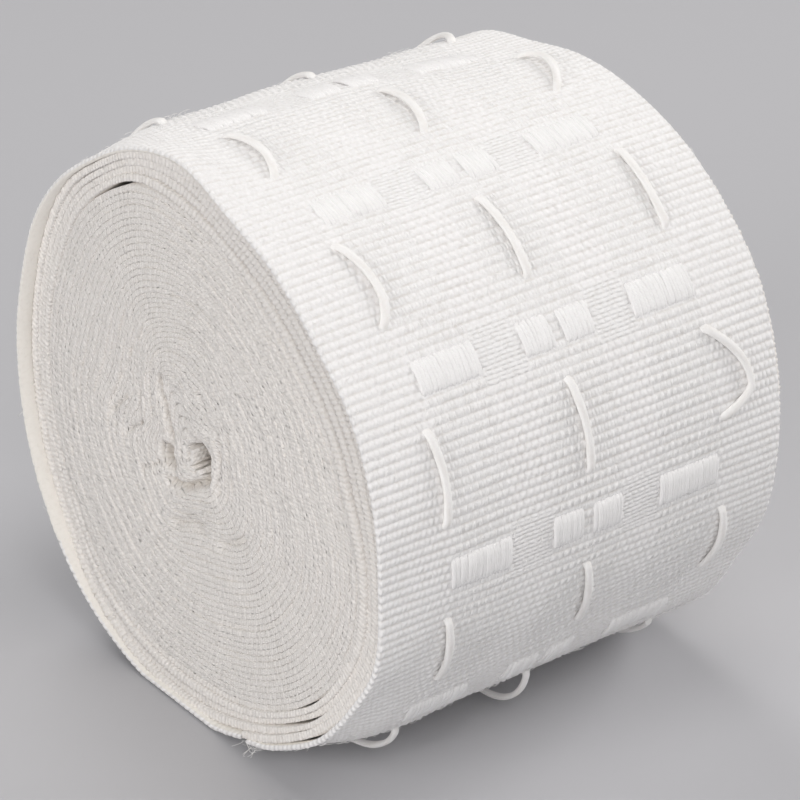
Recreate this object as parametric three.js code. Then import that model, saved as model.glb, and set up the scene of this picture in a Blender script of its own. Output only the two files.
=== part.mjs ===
// Roll of curtain heading tape.
// A woven cotton tape is wound on itself without a core. Short floats of its three
// draw cords stand on the outside, between rows of raised pocket bars. The axis of
// the roll runs along X. Angles about it are in degrees from +Y, the back, through
// +Z, the top, towards the front. All sizes are in millimetres.

import * as THREE from 'three'

// Driving dimensions
const TAPE_WIDTH = 75
const TAPE_THICKNESS = 1.0
const AXIS_HEIGHT = 45.7
const AXIS_SHIFT = { x: -1, y: 0.4 }
const FREE_END_ANGLE = 252
const PATTERN_REPEATS = 10
const FIRST_POCKET_ANGLE = 75
const POCKET_BAR_RELIEF = 0.45
const CORD_RADIUS = 0.65
const CORD_CLEARANCE = 0.3
const FLOAT_HALF_ANGLE = 8.5
const FLOAT_ROW_BEFORE_POCKET = 20
const NEAR_END_X = -TAPE_WIDTH / 2
const FAR_END_X = TAPE_WIDTH / 2
const REPEAT_ANGLE = 360 / PATTERN_REPEATS

// Radius of the roll by angle. near, body and far are the outline at the near end,
// along the body and at the far end. packed is where the tight turns begin, crease
// and inner are two turns that wave, and core is the first folded turn.
const OUTLINE = [
  { angle: 0, near: 47.3, body: 47.4, far: 47.2, packed: 40.0, crease: 23.3, inner: 13.0, core: 6.2 },
  { angle: 15, near: 46.8, body: 47.1, far: 46.8, packed: 40.0, crease: 21.2, inner: 11.4, core: 5.9 },
  { angle: 30, near: 47.3, body: 47.2, far: 47.0, packed: 40.2, crease: 21.3, inner: 13.2, core: 5.6 },
  { angle: 45, near: 47.4, body: 47.9, far: 48.8, packed: 41.0, crease: 23.2, inner: 15.8, core: 6.2 },
  { angle: 60, near: 47.4, body: 49.2, far: 48.3, packed: 41.8, crease: 25.7, inner: 18.0, core: 5.6 },
  { angle: 75, near: 48.8, body: 48.1, far: 45.8, packed: 42.6, crease: 26.2, inner: 18.8, core: 4.8 },
  { angle: 90, near: 49.2, body: 47.2, far: 45.8, packed: 41.3, crease: 26.5, inner: 19.3, core: 4.4 },
  { angle: 105, near: 46.9, body: 46.7, far: 46.3, packed: 39.8, crease: 25.9, inner: 18.5, core: 4.8 },
  { angle: 120, near: 46.7, body: 46.8, far: 46.9, packed: 38.8, crease: 25.3, inner: 16.5, core: 5.8 },
  { angle: 135, near: 46.6, body: 47.2, far: 47.6, packed: 38.5, crease: 25.4, inner: 15.5, core: 7.4 },
  { angle: 150, near: 47.7, body: 48.0, far: 48.5, packed: 38.8, crease: 25.2, inner: 15.0, core: 7.2 },
  { angle: 165, near: 47.6, body: 47.9, far: 48.2, packed: 39.6, crease: 23.5, inner: 14.5, core: 6.2 },
  { angle: 180, near: 47.2, body: 47.7, far: 47.9, packed: 41.8, crease: 24.9, inner: 15.5, core: 5.8 },
  { angle: 195, near: 47.9, body: 47.8, far: 47.9, packed: 42.2, crease: 25.3, inner: 16.0, core: 5.8 },
  { angle: 210, near: 46.5, body: 47.1, far: 46.9, packed: 41.2, crease: 24.6, inner: 15.5, core: 5.8 },
  { angle: 225, near: 45.9, body: 47.9, far: 47.8, packed: 40.1, crease: 23.8, inner: 14.0, core: 5.5 },
  { angle: 240, near: 45.1, body: 46.9, far: 47.0, packed: 39.2, crease: 22.6, inner: 12.3, core: 5.0 },
  { angle: 255, near: 45.2, body: 47.1, far: 47.2, packed: 38.6, crease: 22.0, inner: 11.5, core: 4.8 },
  { angle: 270, near: 46.6, body: 47.2, far: 47.2, packed: 38.4, crease: 22.4, inner: 12.0, core: 5.0 },
  { angle: 285, near: 47.9, body: 47.8, far: 47.6, packed: 39.5, crease: 22.7, inner: 14.0, core: 5.8 },
  { angle: 300, near: 49.2, body: 48.5, far: 48.0, packed: 40.5, crease: 22.5, inner: 15.5, core: 7.0 },
  { angle: 315, near: 49.8, body: 49.0, far: 48.6, packed: 41.0, crease: 22.2, inner: 15.0, core: 8.0 },
  { angle: 330, near: 49.3, body: 48.8, far: 48.5, packed: 41.0, crease: 22.8, inner: 14.6, core: 7.6 },
  { angle: 345, near: 48.2, body: 48.1, far: 47.8, packed: 40.5, crease: 23.5, inner: 14.2, core: 6.8 },
]
const OUTLINE_STEP = 15
const NEAR_FLARE_REACH = 7
const FAR_BLEND_START = 30

// Share of the way from the centre to the outline at which each waving turn lies.
const RINGS = [
  { name: 'core', share: 0.13 },
  { name: 'inner', share: 0.32 },
  { name: 'crease', share: 0.51 },
  { name: 'packed', share: 0.84 },
]
const PACK_CENTRE = { y: 1.9, z: -1.3 }

// Turns of each end face, from the core outwards: how many there are up to a share of
// the radius, how far their edges lie inside the outermost turn's edge, and the groove
// between. The tape is as wide in every turn, so what lies back at the near end stands
// out at the far end.
const NEAR_TURNS = [
  { turns: 3, share: 0.22, recess: 2.0, groove: 1.4 },
  { turns: 7, share: 0.84, recess: 1.6, groove: 1.2 },
  { turns: 1, share: 0.87, recess: 1.9, groove: 1.8 },
  { turns: 1, share: 0.9, recess: 1.2, groove: 1.6 },
  { turns: 1, share: 0.93, recess: 1.8, groove: 1.7 },
  { turns: 1, share: 0.965, recess: 0.9, groove: 1.5 },
  { turns: 1, share: 1, recess: 0, groove: 1.6 },
]
const FAR_TURNS = [
  { turns: 1, share: 0.16, recess: -2.0, groove: 1.3 },
  { turns: 4, share: 0.86, recess: -1.6, groove: 1.2 },
  { turns: 1, share: 0.91, recess: -1.5, groove: 1.4 },
  { turns: 1, share: 0.957, recess: -1.1, groove: 1.3 },
  { turns: 1, share: 1, recess: 0, groove: 1.3 },
]
const FIRST_SHARE = 0.045

// Places where loose turns of the near end stand off each other
const GAPS = [
  { angle: 67, reach: 12, share: 0.87, depth: 3.2 },
  { angle: 221, reach: 10, share: 0.87, depth: 2.6 },
  { angle: 230, reach: 12, share: 0.93, depth: 2.6 },
  { angle: 229, reach: 20, share: 0.985, depth: 2.8 },
]
const GAP_SHARE_REACH = 0.018
const CREST_PLACE = 0.55
const CREST_SINK = 0.4

// Folds of the crumpled core: dark slots seen end on
const CORE_SLOTS = [
  { y: 6.9, z: -3.2, length: 3.0, tilt: -34, depth: 2.6 },
  { y: 5.1, z: -6.5, length: 5.2, tilt: -17, depth: 3.0 },
  { y: -1.4, z: -3.7, length: 5.4, tilt: -31, depth: 3.0 },
  { y: -3.4, z: -0.1, length: 5.0, tilt: 90, depth: 2.6 },
  { y: -1.6, z: 2.4, length: 5.4, tilt: -23, depth: 2.4 },
  { y: 7.3, z: 5.3, length: 7.0, tilt: 68, depth: 2.4 },
]
const SLOT_HALF_WIDTH = 1.1

// Pocket bars across the tape, measured from its near edge
const POCKET_BARS = [
  { from: 12.4, to: 23.0 },
  { from: 31.1, to: 36.5 },
  { from: 38.5, to: 43.7 },
  { from: 51.3, to: 62.6 },
]
const BAR_INNER_ANGLE = 2.8
const BAR_OUTER_ANGLE = 3.6
const BAR_EDGE = 0.3
const PLAIN_ANGLES = [11, 18, 25]
// Rows of bars that lie a little before their place in the repeat, in degrees
const BAR_ROW_SLIPS = [
  { row: 147, slip: -1.2 },
  { row: 183, slip: -1.7 },
]
const SELVEDGE_STEPS = [0.3, 1.5, 6.5]

// Draw cords, measured from the near edge, and the floats of each that lie unlike the
// rest. aside moves the float towards the far edge, bow bends it that way, lean is its
// slant, rise is how far its middle stands off the tape and peak is where.
const DRAW_CORDS = [
  { name: 'left', across: 12 },
  { name: 'centre', across: 37.5 },
  { name: 'right', across: 63.5 },
]
const PLAIN_FLOAT = { aside: 0, bow: 0.3, lean: 0.5, rise: 0.4, peak: 0 }
const LOOSE_FLOATS = [
  { cord: 'left', row: 55, aside: 0, bow: 0.6, lean: 0.6, rise: 0.5, peak: 0.2 },
  { cord: 'centre', row: 55, aside: 2, bow: 0.8, lean: 0.8, rise: 0.6, peak: 0.1 },
  { cord: 'right', row: 55, aside: 3.5, bow: 2.5, lean: -0.8, rise: 0.8, peak: -0.1 },
  { cord: 'left', row: 91, aside: 0, bow: 1.5, lean: -1.5, rise: 0.6, peak: 0.1 },
  { cord: 'centre', row: 91, aside: 2.2, bow: 1.3, lean: -2.5, rise: 0.6, peak: 0 },
  { cord: 'right', row: 91, aside: 2, bow: 2.8, lean: -3.5, rise: 0.7, peak: -0.2 },
  { cord: 'left', row: 127, aside: -1, bow: 1.9, lean: 0, rise: 0.5, peak: 0.2 },
  { cord: 'centre', row: 127, aside: -0.5, bow: 0.5, lean: 0, rise: 0.4, peak: 0 },
  { cord: 'right', row: 127, aside: -0.3, bow: 0.2, lean: -0.5, rise: 0.4, peak: 0 },
  { cord: 'left', row: 163, aside: -0.7, bow: 0.7, lean: 0.5, rise: 0.4, peak: 0 },
  { cord: 'centre', row: 163, aside: -0.3, bow: 0.4, lean: 1.2, rise: 0.4, peak: 0 },
  { cord: 'right', row: 163, aside: -0.8, bow: 6.0, lean: 1.0, rise: 0.5, peak: 0.4 },
  { cord: 'left', row: 199, aside: 1.2, bow: 0.2, lean: 2.0, rise: 0.5, peak: 0 },
  { cord: 'centre', row: 199, aside: 2.0, bow: 0.1, lean: 3.0, rise: 0.5, peak: 0 },
  { cord: 'right', row: 199, aside: 1.5, bow: 0.6, lean: 1.2, rise: 0.5, peak: 0 },
  { cord: 'left', row: 235, aside: 1.2, bow: 0.8, lean: -0.5, rise: 1.9, peak: 0.2 },
  { cord: 'centre', row: 235, aside: 0.6, bow: 0.5, lean: -1.3, rise: 3.2, peak: 0.1 },
  { cord: 'right', row: 235, aside: 0, bow: 0.4, lean: 0.2, rise: 0.8, peak: 0 },
]
const RESTING_ROW = 271
const FLOAT_STEPS = 8
const CORD_SIDES = 6

const clothColour = new THREE.MeshStandardMaterial({ color: 0xf1eee6, roughness: 0.95, metalness: 0 })
const cordColour = new THREE.MeshStandardMaterial({ color: 0xf6f4ee, roughness: 0.85, metalness: 0 })

const radians = (degrees) => (degrees * Math.PI) / 180
const turnOf = (angle) => ((angle % 360) + 360) % 360
const bell = (distance) => Math.exp(-distance * distance)

function smooth(from, to, value) {
  const t = Math.min(Math.max((value - from) / (to - from), 0), 1)
  return t * t * (3 - 2 * t)
}

// A column of the outline table at any angle, on a smooth closed curve
function column(name, angle) {
  const place = turnOf(angle) / OUTLINE_STEP
  const first = Math.floor(place)
  const t = place - first
  const at = (step) => OUTLINE[(first + step + OUTLINE.length) % OUTLINE.length][name]
  const a = at(-1)
  const b = at(0)
  const c = at(1)
  const d = at(2)
  return b + 0.5 * t * (c - a + t * (2 * a - 5 * b + 4 * c - d + t * (3 * (b - c) + d - a)))
}

// The spiral adds one thickness over the last turn. Along the tape, 0 is one turn
// before the free end and 1 is the free end.
function outlineRadius(angle, along, fromNearEdge) {
  const near = column('near', angle)
  const body = column('body', angle)
  const far = column('far', angle)
  const flare = (near - body) * bell(fromNearEdge / NEAR_FLARE_REACH)
  const taper = (far - body) * smooth(FAR_BLEND_START, TAPE_WIDTH, fromNearEdge)
  return body + flare + taper + TAPE_THICKNESS * (along - 0.5)
}

// Nothing reaches below the surface that the roll lies on.
function limitToFloor(radius, angle) {
  const down = -Math.sin(radians(angle))
  return down > 0 ? Math.min(radius, AXIS_HEIGHT / down) : radius
}

function barRowSlip(row) {
  return BAR_ROW_SLIPS.find((entry) => entry.row === turnOf(row))?.slip ?? 0
}

function barRelief(angle, fromNearEdge) {
  const nearest = Math.round((angle - FIRST_POCKET_ANGLE) / REPEAT_ANGLE)
  const row = FIRST_POCKET_ANGLE + nearest * REPEAT_ANGLE
  const fromRow = angle - row - barRowSlip(row)
  if (Math.abs(fromRow) > (BAR_INNER_ANGLE + BAR_OUTER_ANGLE) / 2) return 0
  const onBar = POCKET_BARS.some((bar) => fromNearEdge > bar.from && fromNearEdge < bar.to)
  return onBar ? POCKET_BAR_RELIEF : 0
}

function surfaceRadius(angle, along, fromNearEdge) {
  const plain = outlineRadius(angle, along, fromNearEdge)
  return limitToFloor(plain + barRelief(angle, fromNearEdge), angle)
}

// A point of an end face at a share of the way from the centre to the inside of the
// outermost turn
function facePoint(angle, share, fromNearEdge) {
  const stops = [{ share: 0, radius: 0 }]
  for (const ring of RINGS) stops.push({ share: ring.share, radius: column(ring.name, angle) })
  stops.push({ share: 1, radius: outlineRadius(angle, 0, fromNearEdge) })
  const upper = Math.max(stops.findIndex((stop) => stop.share >= share), 1)
  const low = stops[upper - 1]
  const high = stops[upper]
  const mix = (share - low.share) / (high.share - low.share)
  const radius = low.radius + (high.radius - low.radius) * mix
  const shift = 1 - smooth(RINGS[RINGS.length - 1].share, 1, share)
  return {
    y: PACK_CENTRE.y * shift + radius * Math.cos(radians(angle)),
    z: PACK_CENTRE.z * shift + radius * Math.sin(radians(angle)),
  }
}

function slotDepth(y, z) {
  let depth = 0
  for (const slot of CORE_SLOTS) {
    const tilt = radians(slot.tilt)
    const dy = y - slot.y
    const dz = z - slot.z
    const lengthwise = dy * Math.cos(tilt) + dz * Math.sin(tilt)
    const crosswise = dz * Math.cos(tilt) - dy * Math.sin(tilt)
    const reach = bell(lengthwise / (slot.length / 2)) * bell(crosswise / SLOT_HALF_WIDTH)
    depth = Math.max(depth, slot.depth * reach)
  }
  return depth
}

function gapDepth(angle, share) {
  let depth = 0
  for (const gap of GAPS) {
    const offset = turnOf(angle - gap.angle + 180) - 180
    const reach = bell(offset / gap.reach) * bell((share - gap.share) / GAP_SHARE_REACH)
    depth = Math.max(depth, gap.depth * reach)
  }
  return depth
}

// Angles at which the roll is sectioned, from the start of the outermost turn to the
// free end of the tape
function sectionAngles() {
  const start = FREE_END_ANGLE - 360
  const barSteps = [-BAR_OUTER_ANGLE, -BAR_INNER_ANGLE, BAR_INNER_ANGLE, BAR_OUTER_ANGLE]
  const angles = []
  for (let repeat = -PATTERN_REPEATS; repeat <= PATTERN_REPEATS; repeat++) {
    const row = FIRST_POCKET_ANGLE + repeat * REPEAT_ANGLE
    angles.push(...barSteps.map((step) => row + barRowSlip(row) + step))
    angles.push(...PLAIN_ANGLES.map((step) => row + step))
  }
  const inTurn = angles.filter((angle) => angle > start + 1 && angle < FREE_END_ANGLE - 1)
  return [start, ...inTurn, FREE_END_ANGLE]
}

// Distances across the tape, from its near edge, at which the outside is sectioned
function acrossPlaces() {
  const bars = POCKET_BARS.flatMap((bar) => [
    bar.from - BAR_EDGE,
    bar.from + BAR_EDGE,
    bar.to - BAR_EDGE,
    bar.to + BAR_EDGE,
  ])
  const farSelvedge = SELVEDGE_STEPS.map((step) => TAPE_WIDTH - step).reverse()
  return [...SELVEDGE_STEPS, ...bars, ...farSelvedge]
}

// The turns of an end face, one entry for each and one for where the last one ends
function turnEntries(table) {
  const entries = []
  let share = FIRST_SHARE
  for (const row of table) {
    const width = (row.share - share) / row.turns
    for (let turn = 0; turn < row.turns; turn++) {
      entries.push({ share: share + width * turn, recess: row.recess, groove: row.groove })
    }
    share = row.share
  }
  const last = table[table.length - 1]
  entries.push({ share, recess: last.recess, groove: last.groove })
  return entries
}

function entryAt(entries, turn) {
  const first = Math.min(Math.floor(turn), entries.length - 2)
  const t = turn - first
  const low = entries[first]
  const high = entries[first + 1]
  const mix = (name) => low[name] + (high[name] - low[name]) * t
  return { share: mix('share'), recess: mix('recess'), groove: mix('groove') }
}

// The wound roll as one closed body: the outside, the cut end of the tape, and an end
// face at each side, where grooves and crests follow the spiral
function rollGeometry() {
  const points = []
  const faces = []
  const angles = sectionAngles()
  const count = angles.length - 1
  const places = acrossPlaces()
  const addPoint = (x, y, z) => points.push([x, y, z]) - 1

  function quad(a, b, c, d, flipped) {
    if (flipped) faces.push([d, c, b], [d, b, a])
    else faces.push([a, b, c], [a, c, d])
  }

  function triangle(a, b, c, flipped) {
    faces.push(flipped ? [c, b, a] : [a, b, c])
  }

  function addOutside() {
    const wall = places.map((place) =>
      angles.map((angle, i) => {
        const radius = surfaceRadius(angle, i / count, place)
        const y = radius * Math.cos(radians(angle))
        const z = radius * Math.sin(radians(angle))
        return addPoint(NEAR_END_X + place, y, z)
      })
    )
    for (let j = 0; j + 1 < places.length; j++) {
      const near = wall[j]
      const far = wall[j + 1]
      for (let i = 0; i < count; i++) quad(near[i], near[i + 1], far[i + 1], far[i])
      quad(near[count], near[0], far[0], far[count])
    }
    return wall
  }

  // rim is the edge of the outside. The groove inside a turn is the outer side of the
  // turn before it, so the last groove ends where the rim starts.
  function addEndFace({ table, endX, inward, rim, place, hollows }) {
    const flipped = inward < 0
    const entries = turnEntries(table)
    const total = (entries.length - 1) * count
    const grooves = []
    for (let i = 0; i < total; i++) {
      const angle = angles[i % count]
      const entry = entryAt(entries, i / count)
      const { y, z } = facePoint(angle, entry.share, place)
      const depth = entry.recess + entry.groove + hollows(angle, entry.share, y, z)
      grooves.push(addPoint(endX + inward * depth, y, z))
    }
    grooves.push(rim[0])

    const outerSide = (i) => (i + count <= total ? grooves[i + count] : rim[i + count - total])
    const crests = grooves.map((groove, i) => {
      const entry = entryAt(entries, i / count)
      const inner = points[groove]
      const outer = points[outerSide(i)]
      const y = inner[1] + (outer[1] - inner[1]) * CREST_PLACE
      const z = inner[2] + (outer[2] - inner[2]) * CREST_PLACE
      const sunk = hollows(angles[i % count], entry.share, y, z) * CREST_SINK
      return addPoint(endX + inward * (entry.recess + sunk), y, z)
    })

    for (let i = 0; i < total; i++) {
      quad(grooves[i], grooves[i + 1], crests[i + 1], crests[i], flipped)
      quad(crests[i], crests[i + 1], outerSide(i + 1), outerSide(i), flipped)
    }
    triangle(rim[0], rim[count], crests[total], flipped)

    const first = entries[0]
    const middle = addPoint(endX + inward * (first.recess + first.groove), PACK_CENTRE.y, PACK_CENTRE.z)
    for (let i = 0; i < count; i++) triangle(middle, grooves[i + 1], grooves[i], flipped)
    triangle(middle, crests[0], grooves[count], flipped)
    triangle(middle, grooves[0], crests[0], flipped)
  }

  const wall = addOutside()
  addEndFace({
    table: NEAR_TURNS,
    endX: NEAR_END_X,
    inward: 1,
    rim: wall[0],
    place: 0,
    hollows: (angle, share, y, z) => gapDepth(angle, share) + slotDepth(y, z),
  })
  addEndFace({
    table: FAR_TURNS,
    endX: FAR_END_X,
    inward: -1,
    rim: wall[wall.length - 1],
    place: TAPE_WIDTH,
    hollows: () => 0,
  })

  const geometry = new THREE.BufferGeometry()
  geometry.setAttribute('position', new THREE.Float32BufferAttribute(points.flat(), 3))
  geometry.setIndex(faces.flat())
  geometry.computeVertexNormals()
  return geometry
}

// One float of a draw cord: a short bar bent round the roll, its feet on the tape
function floatGeometry(across, row, shape) {
  const route = []
  for (let step = 0; step <= FLOAT_STEPS; step++) {
    const t = (2 * step) / FLOAT_STEPS - 1
    const arch = t < shape.peak ? (t - shape.peak) / (1 + shape.peak) : (t - shape.peak) / (1 - shape.peak)
    const swell = 1 - arch * arch
    const angle = row + FLOAT_HALF_ANGLE * t
    const place = across + shape.aside + shape.bow * swell + (shape.lean * t) / 2
    const along = turnOf(angle - FREE_END_ANGLE) / 360
    const foot = surfaceRadius(angle, along, place) + CORD_CLEARANCE + CORD_RADIUS
    const radius = foot + shape.rise * swell
    const y = radius * Math.cos(radians(angle))
    route.push(new THREE.Vector3(NEAR_END_X + place, y, radius * Math.sin(radians(angle))))
  }
  const section = new THREE.Shape()
  for (let side = 0; side < CORD_SIDES; side++) {
    const turn = (2 * Math.PI * side) / CORD_SIDES
    const x = CORD_RADIUS * Math.cos(turn)
    const y = CORD_RADIUS * Math.sin(turn)
    if (side === 0) section.moveTo(x, y)
    else section.lineTo(x, y)
  }
  section.closePath()
  const extrudePath = new THREE.CatmullRomCurve3(route)
  return new THREE.ExtrudeGeometry(section, { steps: FLOAT_STEPS, bevelEnabled: false, extrudePath })
}

function addNamed(group, name, geometry, material) {
  const mesh = new THREE.Mesh(geometry, material)
  mesh.name = name
  group.add(mesh)
}

const roll = new THREE.Group()
roll.position.set(AXIS_SHIFT.x, AXIS_SHIFT.y, AXIS_HEIGHT)
addNamed(roll, 'tape_roll', rollGeometry(), clothColour)
for (const cord of DRAW_CORDS) {
  for (let repeat = 0; repeat < PATTERN_REPEATS; repeat++) {
    const row = turnOf(FIRST_POCKET_ANGLE - FLOAT_ROW_BEFORE_POCKET + repeat * REPEAT_ANGLE)
    if (row === RESTING_ROW) continue
    const loose = LOOSE_FLOATS.find((float) => float.cord === cord.name && float.row === row)
    const name = `cord_float_${cord.name}_${String(row).padStart(3, '0')}`
    addNamed(roll, name, floatGeometry(cord.across, row, loose ?? PLAIN_FLOAT), cordColour)
  }
}

export default roll
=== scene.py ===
# Roll of curtain heading tape.
# One long cotton tape is wound on itself without a core. Every turn is modelled, with
# the beads that the weft makes along both edges. The outermost turn carries the whole
# weave: ribbed selvedges, beaded cloth, raised pocket bars and the floats of three draw
# cords. Sizes are in millimetres about the roll's axis until a mesh is made.
# Angles are in degrees from +Y, the back, through +Z, the top, towards the front.
import math

import bpy
import numpy as np
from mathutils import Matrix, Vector


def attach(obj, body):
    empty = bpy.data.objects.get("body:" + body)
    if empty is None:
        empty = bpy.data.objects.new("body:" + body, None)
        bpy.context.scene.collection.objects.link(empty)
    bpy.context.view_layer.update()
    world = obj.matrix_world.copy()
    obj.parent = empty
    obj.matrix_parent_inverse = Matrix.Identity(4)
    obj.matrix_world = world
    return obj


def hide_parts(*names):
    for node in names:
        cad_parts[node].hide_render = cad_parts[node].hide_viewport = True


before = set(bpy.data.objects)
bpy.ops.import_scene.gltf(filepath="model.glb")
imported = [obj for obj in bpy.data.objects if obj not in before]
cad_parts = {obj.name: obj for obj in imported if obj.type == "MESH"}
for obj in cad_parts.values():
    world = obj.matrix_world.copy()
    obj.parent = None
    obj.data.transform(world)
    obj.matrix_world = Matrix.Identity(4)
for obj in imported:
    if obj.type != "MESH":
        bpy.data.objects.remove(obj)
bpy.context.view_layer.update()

MM = 0.001
TAPE_WIDTH = 75.0
AXIS = (-1.0, 0.4, 45.7)
NEAR_EDGE = -TAPE_WIDTH / 2
MIDDLE = TAPE_WIDTH / 2
MEAN_RADIUS = 47.5
TURN_STEP = 1.0
OUTER_THICKNESS = 0.95
LOOSE_THICKNESS = 0.86
PACKED_HALF = 0.56
LOOSE_HALF = 0.43
FULL_HALF = 0.8
CORE_HALF = 1.25
FOLDED_HALF = 0.42
PRESSED_THICKNESS = 0.9
EDGE_ROUNDING = 0.16
WEAVE_CLEAR = 0.27
CORD_CLEAR = 0.52
FIBRE_CLEAR = 0.06

# The outline of the roll every 15 degrees, as in the part's source: at the near end,
# along the body and at the far end. packed is where the tight turns begin, crease and
# inner are two turns that wave, and heart is the turn round the folded core.
OUTLINE_STEP = 15
OUTLINE = {
    "near": [47.3, 46.8, 47.3, 47.4, 47.4, 48.8, 49.2, 46.9, 46.7, 46.6, 47.7, 47.6,
             47.2, 47.9, 46.5, 45.9, 45.1, 45.2, 46.6, 47.9, 49.2, 49.8, 49.3, 48.2],
    "body": [47.4, 47.1, 47.2, 47.9, 49.2, 48.1, 47.2, 46.7, 46.8, 47.2, 48.0, 47.9,
             47.7, 47.8, 47.1, 47.9, 46.9, 47.1, 47.2, 47.8, 48.5, 49.0, 48.8, 48.1],
    "far": [47.2, 46.8, 47.0, 48.8, 48.3, 45.8, 45.8, 46.3, 46.9, 47.6, 48.5, 48.2,
            47.9, 47.9, 46.9, 47.8, 47.0, 47.2, 47.2, 47.6, 48.0, 48.6, 48.5, 47.8],
    "packed": [40.0, 40.0, 40.2, 41.0, 41.8, 42.6, 41.3, 39.8, 38.8, 38.5, 38.8, 39.6,
               41.8, 42.2, 41.2, 40.1, 39.2, 38.6, 38.4, 39.5, 40.5, 41.0, 41.0, 40.5],
    "crease": [23.3, 21.2, 21.3, 23.2, 25.7, 26.2, 26.5, 25.9, 25.3, 25.4, 25.2, 23.5,
               24.9, 25.3, 24.6, 23.8, 22.6, 22.0, 22.4, 22.7, 22.5, 22.2, 22.8, 23.5],
    "inner": [13.0, 11.4, 13.2, 15.8, 18.0, 18.8, 19.3, 18.5, 16.5, 15.5, 15.0, 14.5,
              15.5, 16.0, 15.5, 14.0, 12.3, 11.5, 12.0, 14.0, 15.5, 15.0, 14.6, 14.2],
    "heart": [6.0, 6.1, 6.9, 8.8, 11.4, 10.4, 6.8, 6.6, 7.4, 8.1, 7.6, 6.7,
              6.0, 5.6, 5.4, 5.3, 5.0, 5.0, 5.3, 5.8, 6.4, 6.8, 6.8, 6.4],
    "eye": [2.2, 2.3, 2.5, 2.7, 2.9, 2.8, 2.8, 2.9, 3.1, 3.4, 3.6, 3.7,
            3.7, 3.6, 3.4, 3.0, 2.5, 2.2, 2.0, 2.0, 2.1, 2.2, 2.2, 2.2],
}
NEAR_FLARE_REACH = 7
# Past this place across, the flare of the near end has faded out
BODY_PLACE = 15.0
FAR_BLEND_START = 30
FREE_END_ANGLE = 252
PACK_CENTRE = np.array([1.9, -1.3])

# Turns are numbered from the core outwards. The free end of the tape is at turn 46.
LAST_TURN = 46.0
OUTERMOST = 45.0
LOOSE_FROM = 41.0
START_TURN = 0.0
FIRST_SHARE = 0.045
PACKED_SHARE = 0.84
RING_SHARES = (("eye", FIRST_SHARE), ("heart", 0.13), ("inner", 0.32), ("crease", 0.51),
               ("packed", PACKED_SHARE))

# Loose turns stand off each other here: which loose turn, the angle, how far round it
# reaches, and how much of the slack it takes
STAND_OFFS = (
    (0.25, 67, 14, 11),
    (0.40, 221, 12, 9),
    (2.45, 231, 13, 8),
    (1.30, 300, 30, 3),
)
# Below the front the outside dips in, up to where the free end covers it again. The free
# end droops a little.
DIP_ANGLE = 229
DIP_REACH = 17
DIP_DEPTH = 0.6
DIP_END = (45.1, 45.3)
END_DROOP = 0.45

# How far the edge of each turn lies inside the edge of the outermost turn
EDGE_RECESS = ((0, 2.6), (3, 2.3), (6, 1.9), (12, 1.6), (24, 1.5), (38, 1.6), (41, 1.75),
               (42, 1.2), (43, 1.75), (44, 0.9), (44.8, 0.8), (45.12, 0.0), (46, 0.0))

# Steps in the near end face: each is a line of turn numbers at angles, inside which the
# edges lie deeper, less so further in. ease is how many degrees its ends take.
TERRACE_EASE = 9
TERRACES = (
    {"line": ((0, 13.4), (90, 13.4)), "depth": 0.5, "fade": 3.0},
    {"line": ((-5, 22.3), (14, 23.3), (43, 20.4), (57, 18.5), (80, 19.0), (102, 19.5)),
     "depth": 0.6, "fade": 4.0},
    {"line": ((7, 26.4), (21, 26.4), (50, 24.5), (79, 24.5), (93, 25.6), (102, 26.6)),
     "depth": 0.5, "fade": 3.0},
    {"line": ((143, 22.0), (172, 23.8), (194, 23.8), (201, 24.9), (230, 23.0)), "depth": 0.4, "fade": 5.0},
    {"line": ((190, 28.5), (251, 28.5)), "depth": 0.4, "fade": 3.0},
    {"line": ((200, 33.5), (252, 33.5)), "depth": 0.4, "fade": 3.0},
    {"line": ((-35, 45.0), (30, 45.0)), "depth": 1.4, "fade": 10.0, "ease": 25},
    {"line": ((60, 45.0), (105, 45.0)), "depth": -0.4, "fade": 1.2, "ease": 20},
    {"line": ((90, 42.6), (143, 42.6), (160, 41.7), (179, 39.8), (194, 37.8), (208, 36.9)),
     "depth": 0.5, "fade": 2.0},
)

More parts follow.
